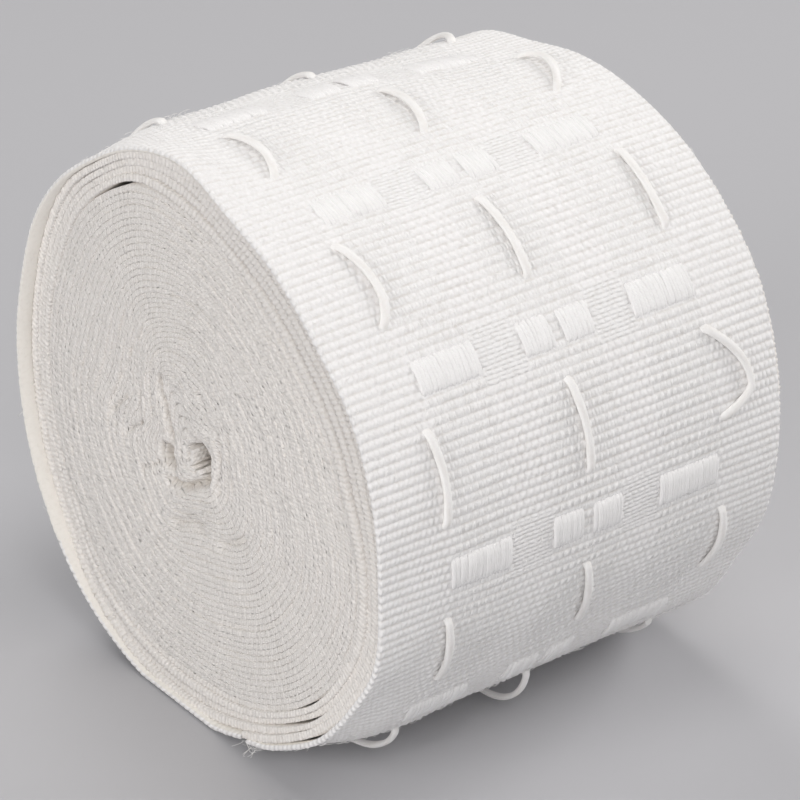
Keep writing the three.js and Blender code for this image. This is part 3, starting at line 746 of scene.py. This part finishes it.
def outermost_turn(name, from_angle, to_angle, material, inner_material):
    """A stretch of the outermost turn. It starts and ends in the groove between rows."""
    start_angle = FREE_END_ANGLE - 360
    first = math.ceil((from_angle - FIRST_POCKET_ANGLE) / ROW_ANGLE - 0.001)
    last = math.floor((to_angle - FIRST_POCKET_ANGLE) / ROW_ANGLE + 0.001)
    rows, crest = row_samples(first + 1, last + 1, OUTER_ROW)
    rows = np.concatenate([[first + GROOVE_PLACE], rows])
    crest = np.concatenate([[0.0], crest])
    angle = FIRST_POCKET_ANGLE + rows * ROW_ANGLE
    along = (angle - start_angle) / 360
    turn = OUTERMOST + along
    across = np.arange(1, round(TAPE_WIDTH / COLUMN_STEP)) * COLUMN_STEP
    outer_places = np.concatenate([[EDGE_ROUNDING], across, [TAPE_WIDTH - EDGE_ROUNDING]])
    inner_places = np.array([TAPE_WIDTH - 0.2, 72.5, 50.0, 25.0, 6.0, 2.0, 0.2])
    count = len(rows)
    direction = direction_at(angle)
    sideways = np.stack([-direction[:, 1], direction[:, 0]], axis=-1)
    soft_edge = (angle > SMOOTH_RIM[0]) & (angle < SMOOTH_RIM[1])
    back = 0.2 * (1 - crest) * np.where(soft_edge, 0.4, 1.0)
    height, gap, fine_rows = weave_height(rows, crest, outer_places, angle)
    height = height + 0.02 * rng.standard_normal(height.shape) * (crest[:, None] > 0.5)
    height[:, 0] = -0.12 - 0.1 * (1 - crest)
    height[:, -1] = -0.12 - 0.1 * (1 - crest)
    sides = len(outer_places) + len(inner_places) + 2
    points = np.zeros((count, sides, 3))
    uv = np.zeros((count, sides, 2))
    painted_shade = np.zeros((count, sides))
    # Painted shade in the grooves between rows, and from the weave's gaps on the outer side
    painted_shade[:] = 0.15 * (1 - crest)[:, None]
    painted_shade[:, 1:1 + len(outer_places)] = gap
    fine = np.zeros((count, sides))
    fine[:, 1:1 + len(outer_places)] = fine_rows
    dip = dip_at(angle, turn)
    droop = END_DROOP * smooth(LAST_TURN - 0.02, LAST_TURN, turn)

    def place(column, across_at, x, depth, slip=0.0):
        outline = outline_radius(angle, along, across_at) + cloth_swell(angle, across_at)
        radius = above_floor(outline - dip, angle, WEAVE_CLEAR) + depth - droop
        points[:, column, 0] = x
        points[:, column, 1:] = direction * radius[:, None] + sideways * slip
        uv[:, column, 0] = bead_number(across_at, strokes=True)
        uv[:, column, 1] = rows

    edge_jitter = 0.05 * rng.standard_normal((2, count))
    edge_jitter[:, [0, -1]] = 0
    place(0, 0.0, NEAR_EDGE + back + edge_jitter[0], -OUTER_THICKNESS / 2)
    for k, across_at in enumerate(outer_places):
        at_edge = k == 0 or k == len(outer_places) - 1
        shift = back * 0.8 * (1 if k == 0 else -1) if at_edge else 0.0
        place(1 + k, across_at, NEAR_EDGE + across_at + shift, height[:, k], 0.18 if at_edge else 0.0)
    column = 1 + len(outer_places)
    place(column, TAPE_WIDTH, -NEAR_EDGE - back + edge_jitter[1], -OUTER_THICKNESS / 2)
    for k, across_at in enumerate(inner_places):
        at_edge = k == 0 or k == len(inner_places) - 1
        shift = back * 0.8 * (-1 if k == 0 else 1) if at_edge else 0.0
        depth = -OUTER_THICKNESS + 0.02 * (1 - crest) + (0.1 if at_edge else 0.0)
        place(column + 1 + k, across_at, NEAR_EDGE + across_at + shift, depth, -0.18 if at_edge else 0.0)
    inner_order = list(range(sides - 1, column, -1))
    outer_order = list(range(1, column))
    picks = np.linspace(0, len(outer_order) - 1, len(inner_order)).round().astype(int)
    caps = [(0, 1, inner_order[0], -1)]
    for k in range(len(inner_order) - 1):
        a, b = picks[k], picks[k + 1]
        caps.append((outer_order[a], outer_order[a + 1], inner_order[k + 1], inner_order[k]))
        caps += [(outer_order[i], outer_order[i + 1], inner_order[k + 1], -1) for i in range(a + 1, b)]
    caps.append((outer_order[-1], column, column + 1, -1))
    points = points.reshape(-1, 3)
    faces = outward(points, closed_strip(count, sides, caps))
    piece = mesh_piece(name, points, faces, uv.reshape(-1, 2), painted_shade.ravel(), material,
                       flat_faces=2 * len(caps))
    point_values(piece.data, "fine_rows", fine.ravel())
    piece.data.materials.append(inner_material)
    # The inner side and, between the SMOOTH_RIM angles, the near rim take the inner cloth, darker and
    # creamier as painted shade
    at = np.maximum(faces, 0)
    on_inner = (at % sides > column) | ((at % sides == 0) & soft_edge[at // sides]) | (faces < 0)
    slots = on_inner.all(axis=1).astype(np.int32)
    piece.data.polygons.foreach_set("material_index", slots)
    return piece


def surface_radius(angle, across):
    along = ((angle - FREE_END_ANGLE) % 360) / 360
    return outline_radius(angle, along, across) + cloth_swell(angle, across)


# Threads and cords: tubes that follow a line
def tube(line, radius, sides, twist=0.0, ply=0.0, flatness=1.0):
    """Points and faces of a closed tube. ply is how deep the two strands of a twisted
    cord are parted, twist is in turns along the tube, and flatness is its height as a
    share of its width."""
    line = np.asarray(line, float)
    radius = np.broadcast_to(radius, (len(line),))
    tangent = np.gradient(line, axis=0)
    tangent /= np.linalg.norm(tangent, axis=1, keepdims=True)
    hint = np.array([0.0, line[:, 1].mean(), line[:, 2].mean()])
    side = np.cross(tangent, hint / np.linalg.norm(hint))
    side /= np.linalg.norm(side, axis=1, keepdims=True)
    up = np.cross(side, tangent)
    around = np.arange(sides) * 2 * np.pi / sides
    length = length_along(line)
    turned = 2 * np.pi * twist * length / max(length[-1], 1e-9)
    phase = around[None, :] - turned[:, None]
    grown = radius[:, None] * (1 - ply + ply * np.abs(np.cos(phase)) * 2)
    ring_points = (line[:, None] + side[:, None] * (grown * np.cos(around))[..., None]
                   + up[:, None] * (grown * flatness * np.sin(around))[..., None])
    count = len(line)
    index = np.arange(count * sides).reshape(count, sides)
    points = np.vstack([ring_points.reshape(-1, 3), line[:1], line[-1:]])
    first, last = count * sides, count * sides + 1
    fan_start = np.stack([np.roll(index[0], -1), index[0], np.full(sides, first), np.full(sides, -1)], -1)
    fan_end = np.stack([index[-1], np.roll(index[-1], -1), np.full(sides, last), np.full(sides, -1)], -1)
    faces = np.vstack([ring_quads(count, sides), fan_start, fan_end])
    # Painted shade in the groove between a twisted cord's two strands
    strand = np.concatenate([(1 - np.abs(np.cos(phase))).ravel() if ply else np.zeros(count * sides), [0, 0]])
    uv = np.stack([np.concatenate([np.tile(around, count), [0, 0]]),
                   np.concatenate([np.repeat(length, sides), length[[0, -1]]])], axis=1)
    return points, outward(points, faces), uv, strand


def join_tubes(name, tubes, material):
    points, faces, uv, painted_shade = [], [], [], []
    base = 0
    for tube_points, tube_faces, tube_uv, tube_painted_shade in tubes:
        points.append(tube_points)
        faces.append(np.where(tube_faces < 0, -1, tube_faces + base))
        uv.append(tube_uv)
        painted_shade.append(tube_painted_shade)
        base += len(tube_points)
    return mesh_piece(name, np.vstack(points), np.vstack(faces), np.vstack(uv),
                      np.concatenate(painted_shade), material)


def on_roll(angle, across, height, clear=CORD_CLEAR):
    """A point at a height over the tape's outer surface."""
    radius = surface_radius(angle, across) + height
    radius = above_floor(radius, angle, clear)
    a = np.radians(angle)
    return np.stack([NEAR_EDGE + across, radius * np.cos(a), radius * np.sin(a)], axis=-1)


def pocket_threads(material):
    tubes = []
    for repeat in range(REPEATS):
        row = FIRST_POCKET_ANGLE - 180 + 36 * repeat
        middle = row + bar_row_slip(row)
        for start, end in POCKET_BARS:
            count = round((end - start) / THREAD_PITCH)
            pitch = (end - start) / count
            for k in range(count):
                across = start + (k + 0.5) * pitch + 0.03 * rng.standard_normal()
                lean = 0.10 * rng.standard_normal()
                half = BAR_HALF_ANGLE + 0.08 * rng.standard_normal()
                rise = THREAD_RISE + 0.055 * rng.standard_normal()
                t = np.linspace(-1, 1, 9)
                arch = 1 - np.abs(t) ** 4
                angle = middle + half * t
                low = FREE_END_ANGLE - 360 + 0.6
                angle = np.maximum(angle, low + 0.02 * np.arange(9))
                line = on_roll(angle, across + lean * t, -0.5 + (0.42 + rise) * arch)
                size = THREAD_RADIUS * (0.92 + 0.08 * arch) * (1 + 0.04 * rng.standard_normal())
                tubes.append(tube(line, size, 8, flatness=THREAD_FLATNESS))
    return join_tubes("pocket_bar_threads", tubes, material)


def float_line(cord, row, steps=40):
    t = np.linspace(-1.14, 1.14, steps)
    shape = float_shape(cord, row)
    across, swell = float_place(cord, shape, t)
    sink = 1.3 * smooth(0.92, 1.12, np.abs(t))
    height = 0.22 + shape["rise"] * swell - sink
    return on_roll(row + FLOAT_HALF_ANGLE * t, across, height)


def draw_cord_floats(material):
    for cord in DRAW_CORDS:
        for row in float_rows():
            line = float_line(cord, row)
            width = CORD_HALF_WIDTH * (1 + 0.05 * np.sin(np.linspace(0, 9, len(line)) + row))
            points, faces, uv, painted_shade = tube(line, width, 14, twist=1.2, ply=0.03, flatness=CORD_FLATNESS)
            name = "draw_cord_%s_%03d" % (cord, row)
            piece = mesh_piece(name, points, faces, uv, painted_shade, material)
            if row != RESTING_ROW:
                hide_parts("cord_float_%s_%03d" % (cord, row))


def fibre(angle, across, heading, length, lift, curl):
    """One short fibre that leaves the surface and bends over."""
    t = np.linspace(0, 1, 6)
    turned = heading + curl * t
    step = length / 5
    aside = np.concatenate([[0], np.cumsum(np.cos(turned[1:]) * step)])
    ahead = np.concatenate([[0], np.cumsum(np.sin(turned[1:]) * step)])
    height = -0.12 + lift * np.sin(np.pi * 0.62 * t)
    place = np.clip(across + aside, -1.2, TAPE_WIDTH + 1.2)
    line = on_roll(angle + np.degrees(ahead / MEAN_RADIUS), place, height, FIBRE_CLEAR)
    return tube(line, FIBRE_RADIUS * (1 - 0.5 * t), 3)


def loose_fibres(material):
    tubes = []
    for k in range(SCATTERED_FIBRES + LOWER_FIBRES):
        angles = (0, 360) if k < SCATTERED_FIBRES else LOWER_ANGLES
        angle, across = rng.uniform(*angles), rng.uniform(0.5, TAPE_WIDTH - 0.5)
        tubes.append(fibre(angle, across, rng.uniform(0, 6.28), rng.uniform(0.8, 2.2),
                           rng.uniform(0.15, 0.5), rng.uniform(-1.5, 1.5)))
    for middle, place, count, length, spread in TUFTS:
        for _ in range(count):
            angle = middle + np.degrees(rng.normal(0, spread * 0.5) / MEAN_RADIUS)
            across = np.clip(place + rng.normal(0, spread), 0, TAPE_WIDTH)
            tubes.append(fibre(angle, across, rng.uniform(0, 6.28), length * rng.uniform(0.5, 1.2),
                               rng.uniform(0.3, 1.0), rng.uniform(-2.5, 2.5)))
    for across in np.arange(0.6, TAPE_WIDTH, 0.8):
        tubes.append(fibre(FREE_END_ANGLE - 0.4, across + rng.normal(0, 0.2), 1.57 + rng.normal(0, 0.5),
                           rng.uniform(0.6, 1.8), rng.uniform(0.0, 0.2), rng.normal(0, 0.8)))
    return join_tubes("loose_fibres", tubes, material)


# Materials
def new_material(name):
    material = bpy.data.materials.new(name)
    material.use_nodes = True
    nodes, links = material.node_tree.nodes, material.node_tree.links
    nodes.clear()
    shader = nodes.new("ShaderNodeBsdfPrincipled")
    result = nodes.new("ShaderNodeOutputMaterial")
    links.new(shader.outputs[0], result.inputs["Surface"])
    return material, nodes, links, shader


def fill(links, socket, value):
    """Give a socket a number or colour, or link it to another node's output."""
    if isinstance(value, bpy.types.NodeSocket):
        links.new(value, socket)
    else:
        socket.default_value = value


def calculator(nodes, links):
    """A function that adds a math node and gives its output."""
    def calculate(kind, *values, clamp=False):
        node = nodes.new("ShaderNodeMath")
        node.operation = kind
        node.use_clamp = clamp
        for socket, value in zip(node.inputs, values):
            fill(links, socket, value)
        return node.outputs[0]
    return calculate


def mix_colours(nodes, links, share, first, second):
    mix = nodes.new("ShaderNodeMix")
    mix.data_type = "RGBA"
    for label, value in (("Factor", share), ("A", first), ("B", second)):
        fill(links, mix.inputs[label], value)
    return mix.outputs["Result"]


def attribute_value(nodes, name):
    attribute = nodes.new("ShaderNodeAttribute")
    attribute.attribute_name = name
    return attribute.outputs["Fac"]


def new_group(name, inputs, outputs):
    group = bpy.data.node_groups.new(name, "ShaderNodeTree")
    for label, kind, value in inputs:
        socket = group.interface.new_socket(label, in_out="INPUT", socket_type=kind)
        if value is not None:
            socket.default_value = value
    for label, kind in outputs:
        group.interface.new_socket(label, in_out="OUTPUT", socket_type=kind)
    start = group.nodes.new("NodeGroupInput")
    end = group.nodes.new("NodeGroupOutput")
    return group, start, end


def noise_node(nodes, links, place, scale, detail):
    noise = nodes.new("ShaderNodeTexNoise")
    noise.inputs["Detail"].default_value = detail
    noise.inputs["Roughness"].default_value = 0.6
    links.new(place, noise.inputs["Vector"])
    fill(links, noise.inputs["Scale"], scale)
    return noise.outputs["Fac"]


def cotton_fibre_group():
    """Fine fibres, unevenness of the yarn and slow changes of tone of undyed cotton."""
    group, start, end = new_group(
        "cotton_fibre",
        [("Place", "NodeSocketVector", None), ("Fibre scale", "NodeSocketFloat", 1500.0)],
        [("Fibre", "NodeSocketFloat"), ("Yarn", "NodeSocketFloat"), ("Tone", "NodeSocketFloat")],
    )
    nodes, links = group.nodes, group.links
    place = start.outputs["Place"]
    links.new(noise_node(nodes, links, place, start.outputs["Fibre scale"], 3.0), end.inputs["Fibre"])
    links.new(noise_node(nodes, links, place, 620.0, 1.0), end.inputs["Yarn"])
    links.new(noise_node(nodes, links, place, 45.0, 2.0), end.inputs["Tone"])
    return group


def woven_beads_group():
    """Beads of a weave: Weave counts beads across in x and rows in y, Yarn makes them
    uneven. Relief is their height, and Gap is the painted shade in the gaps between them."""
    group, start, end = new_group(
        "woven_beads",
        [("Weave", "NodeSocketVector", None), ("Yarn", "NodeSocketFloat", 0.5),
         ("Fine rows", "NodeSocketFloat", 0.0)],
        [("Relief", "NodeSocketFloat"), ("Gap", "NodeSocketFloat")],
    )
    nodes, links = group.nodes, group.links
    calculate = calculator(nodes, links)
    parts = nodes.new("ShaderNodeSeparateXYZ")
    links.new(start.outputs["Weave"], parts.inputs[0])
    uneven = calculate("SUBTRACT", start.outputs["Yarn"], 0.5)
    across = calculate("MULTIPLY_ADD", uneven, 0.9, parts.outputs["X"])
    row = calculate("MULTIPLY_ADD", uneven, 0.3, parts.outputs["Y"])
    number = calculate("ADD", parts.outputs["Y"], 0.5)
    number = calculate("FLOOR", number)
    odd = calculate("FLOORED_MODULO", number, 2.0)
    phase = calculate("MULTIPLY_ADD", odd, 0.5, across)
    bead = calculate("COSINE", calculate("MULTIPLY", phase, 2 * math.pi))
    bead = calculate("MULTIPLY_ADD", bead, 0.5, 0.5)
    ridge = calculate("COSINE", calculate("MULTIPLY", row, 2 * math.pi))
    narrow = calculate("COSINE", calculate("MULTIPLY", row, 4 * math.pi))
    narrow = calculate("MULTIPLY", narrow, -1.0)
    change = calculate("SUBTRACT", narrow, ridge)
    ridge = calculate("MULTIPLY_ADD", change, start.outputs["Fine rows"], ridge)
    ridge = calculate("MULTIPLY_ADD", ridge, 0.5, 0.5, clamp=True)
    top = calculate("POWER", bead, 0.6)
    top = calculate("MULTIPLY_ADD", top, 0.7, 0.3)
    round_row = calculate("POWER", ridge, 0.5)
    links.new(calculate("MULTIPLY", round_row, top), end.inputs["Relief"])
    # Gap: painted shade between the rows and between the beads, broken up by the yarn
    between_rows = calculate("POWER", calculate("SUBTRACT", 1.0, ridge), 4.0)
    broken = calculate("MULTIPLY_ADD", uneven, 5.0, 0.5, clamp=True)
    between_rows = calculate("MULTIPLY", between_rows, broken)
    between = calculate("SUBTRACT", 1.0, bead, clamp=True)
    between = calculate("POWER", between, 4.0)
    gap = calculate("MULTIPLY_ADD", between, 0.25, between_rows, clamp=True)
    links.new(gap, end.inputs["Gap"])
    return group


def cloth_material(name, groups, light, dark, tone, gap_strength, bump, bead_share, fibre_scale, roughness):
    """Cotton with painted shade in its threads' gaps, mixing its colour towards the dark one. The painted
    shade attribute is 1 in a groove, and bead_share is how much of the relief and of the painted shade
    between beads the woven beads make."""
    fibre_group, bead_group = groups
    material, nodes, links, shader = new_material(name)
    calculate = calculator(nodes, links)
    place = nodes.new("ShaderNodeTexCoord")
    fibre_node = nodes.new("ShaderNodeGroup")
    fibre_node.node_tree = fibre_group
    fibre_node.inputs["Fibre scale"].default_value = fibre_scale
    links.new(place.outputs["Object"], fibre_node.inputs["Place"])
    fine = fibre_node.outputs["Fibre"]
    # Painted shade from the shade attribute, plus the fibres' own random patches
    painted_shade_and_patches = calculate("MULTIPLY", attribute_value(nodes, "painted_shade"), gap_strength)
    patchy = calculate("SUBTRACT", fine, 0.5)
    painted_shade_and_patches = calculate("MULTIPLY_ADD", patchy, 0.7, painted_shade_and_patches)
    height = calculate("MULTIPLY", fine, 0.35)
    if bead_share:
        weave = nodes.new("ShaderNodeUVMap")
        weave.uv_map = "weave"
        beads = nodes.new("ShaderNodeGroup")
        beads.node_tree = bead_group
        links.new(weave.outputs["UV"], beads.inputs["Weave"])
        links.new(fibre_node.outputs["Yarn"], beads.inputs["Yarn"])
        links.new(attribute_value(nodes, "fine_rows"), beads.inputs["Fine rows"])
        # Painted shade in the gaps between the woven beads and rows
        painted_shade_and_patches = calculate("MULTIPLY_ADD", beads.outputs["Gap"], bead_share * 0.35, painted_shade_and_patches)
        height = calculate("MULTIPLY_ADD", beads.outputs["Relief"], bead_share, height)
    painted_shade_and_patches = calculate("ADD", painted_shade_and_patches, 0.0, clamp=True)
    colour = mix_colours(nodes, links, painted_shade_and_patches, light, dark)
    slow = calculate("MULTIPLY", fibre_node.outputs["Tone"], 0.5)
    colour = mix_colours(nodes, links, slow, colour, tone)
    shader.inputs["Sheen Weight"].default_value = 0.15
    shader.inputs["Sheen Roughness"].default_value = 0.5
    shader.inputs["Specular IOR Level"].default_value = 0.3
    rough = calculate("MULTIPLY_ADD", fine, 0.2, roughness)
    relief = nodes.new("ShaderNodeBump")
    relief.inputs["Strength"].default_value = bump
    relief.inputs["Distance"].default_value = 0.00025
    links.new(height, relief.inputs["Height"])
    links.new(colour, shader.inputs["Base Color"])
    links.new(rough, shader.inputs["Roughness"])
    links.new(relief.outputs["Normal"], shader.inputs["Normal"])
    return material


def floor_material():
    material, _, _, shader = new_material("studio_floor")
    shader.inputs["Base Color"].default_value = (0.50, 0.50, 0.52, 1)
    shader.inputs["Roughness"].default_value = 0.55
    return material


groups = (cotton_fibre_group(), woven_beads_group())
# The wound turns' edges: the same cotton as the woven tape, made darker and creamier as painted shade and
# painted bounce light between the turns; the dark colour serves the painted shade in creases and grooves, and
# the fibres' random patches
face_cloth = cloth_material("wound_tape_edges", groups, (0.91, 0.88, 0.85, 1), (0.50, 0.43, 0.34, 1),
                            (0.87, 0.84, 0.81, 1), 0.3, 0.8, 0.55, 1600, 0.75)
# The woven outer side; its dark colour serves the painted shade between rows and beads and beside the floats,
# and the fibres' random patches
outer_cloth = cloth_material("woven_tape", groups, (0.93, 0.92, 0.92, 1), (0.56, 0.51, 0.45, 1),
                             (0.90, 0.89, 0.885, 1), 0.16, 0.8, 0.8, 1600, 0.7)
# The tape's inner side and part of the near rim: the same cotton, made darker and creamier as painted shade
inner_cloth = cloth_material("tape_inner_side", groups, (0.90, 0.87, 0.82, 1), (0.56, 0.50, 0.42, 1),
                             (0.87, 0.84, 0.79, 1), 0.15, 0.3, 0.0, 1600, 0.75)
thread_cloth = cloth_material("pocket_threads", groups, (0.91, 0.90, 0.90, 1), (0.66, 0.62, 0.57, 1),
                              (0.88, 0.87, 0.865, 1), 0.5, 0.5, 0.0, 2200, 0.65)
# Cords and loose fibres; the dark colour serves the painted shade between a cord's strands, and the fibres'
# random patches
cord_cloth = cloth_material("draw_cord_cotton", groups, (0.93, 0.92, 0.91, 1), (0.74, 0.70, 0.65, 1),
                            (0.91, 0.90, 0.885, 1), 0.4, 0.4, 0.0, 2400, 0.7)

# Pieces
turns = [
    folded_piece("tape_folded_start", face_cloth),
    wound_piece("tape_core_turns", START_TURN, 25.0, ROW_PITCH, PACKED_ROW, 0.05, 2, face_cloth),
    wound_piece("tape_middle_turns", 25.0, 37.0, ROW_PITCH, PACKED_ROW, 0.05, 2, face_cloth),
    wound_piece("tape_outer_turns", 37.0, LOOSE_FROM, ROW_PITCH, PACKED_ROW, 0.07, 2, face_cloth),
    wound_piece("tape_loose_turns", LOOSE_FROM, OUTERMOST_START, LOOSE_BEAD_PITCH, LOOSE_ROW, 0.17, 1,
                face_cloth),
    outermost_turn("tape_outermost_turn", FREE_END_ANGLE - 360, JOIN_ANGLE, outer_cloth, inner_cloth),
    outermost_turn("tape_free_end", JOIN_ANGLE, FREE_END_ANGLE, outer_cloth, inner_cloth),
]
for piece in turns:
    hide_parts("tape_roll")
pocket_threads(thread_cloth)
draw_cord_floats(cord_cloth)
loose_fibres(cord_cloth)

# Floor, light and camera
bpy.ops.object.select_all(action="DESELECT")
bpy.ops.mesh.primitive_plane_add(size=6, location=(0, 0, 0))
floor = bpy.context.object
floor.name = "floor"
floor.data.materials.append(floor_material())

SOFT_WHITE = (1.0, 0.985, 0.975)
# Each light's name, its place in metres, its width and its power
LIGHTS = (
    ("back_light", (0.1, 0.5, 0.6), 0.4, 1.65),
    ("left_light", (-0.75, -0.15, 0.35), 0.45, 2.8),
    ("top_light", (0.0, -0.1, 0.85), 0.4, 0.95),
    ("front_light", (-0.1, -0.85, 0.35), 0.4, 0.85),
    ("corner_light", (-0.3, -0.65, 0.65), 0.4, 1.55),
    ("right_light", (0.8, -0.2, 0.45), 0.4, 4.2),
)


def area_light(name, place, aim, size, power):
    light = bpy.data.lights.new(name, "AREA")
    light.shape = "DISK"
    light.size = size
    light.energy = power
    light.color = SOFT_WHITE
    lamp = bpy.data.objects.new(name, light)
    lamp.location = place
    lamp.rotation_euler = (Vector(aim) - Vector(place)).to_track_quat("-Z", "Y").to_euler()
    bpy.context.scene.collection.objects.link(lamp)


centre = Vector(AXIS) * MM
for light_name, light_place, light_size, light_power in LIGHTS:
    area_light(light_name, light_place, centre, light_size, light_power)
world = bpy.data.worlds.new("studio")
world.use_nodes = True
world.node_tree.nodes["Background"].inputs["Color"].default_value = (0.97, 0.96, 0.95, 1)
world.node_tree.nodes["Background"].inputs["Strength"].default_value = 0.2
bpy.context.scene.world = world
bpy.context.scene.view_settings.view_transform = "Standard"

CAMERA_AZIMUTH = math.radians(-37.47)
CAMERA_HEIGHT = math.radians(28.65)
CAMERA_DISTANCE = 0.5831
back = Vector((
    math.sin(CAMERA_AZIMUTH) * math.cos(CAMERA_HEIGHT),
    -math.cos(CAMERA_AZIMUTH) * math.cos(CAMERA_HEIGHT),
    math.sin(CAMERA_HEIGHT),
))
lens = bpy.data.cameras.new("camera")
lens.sensor_width = 36
lens.lens = 170.5
lens.shift_x = 0.0161
lens.shift_y = -0.0148
camera = bpy.data.objects.new("camera", lens)
camera.location = centre + back * CAMERA_DISTANCE
camera.rotation_euler = (-back).to_track_quat("-Z", "Y").to_euler()
bpy.context.scene.collection.objects.link(camera)
bpy.context.scene.camera = camera
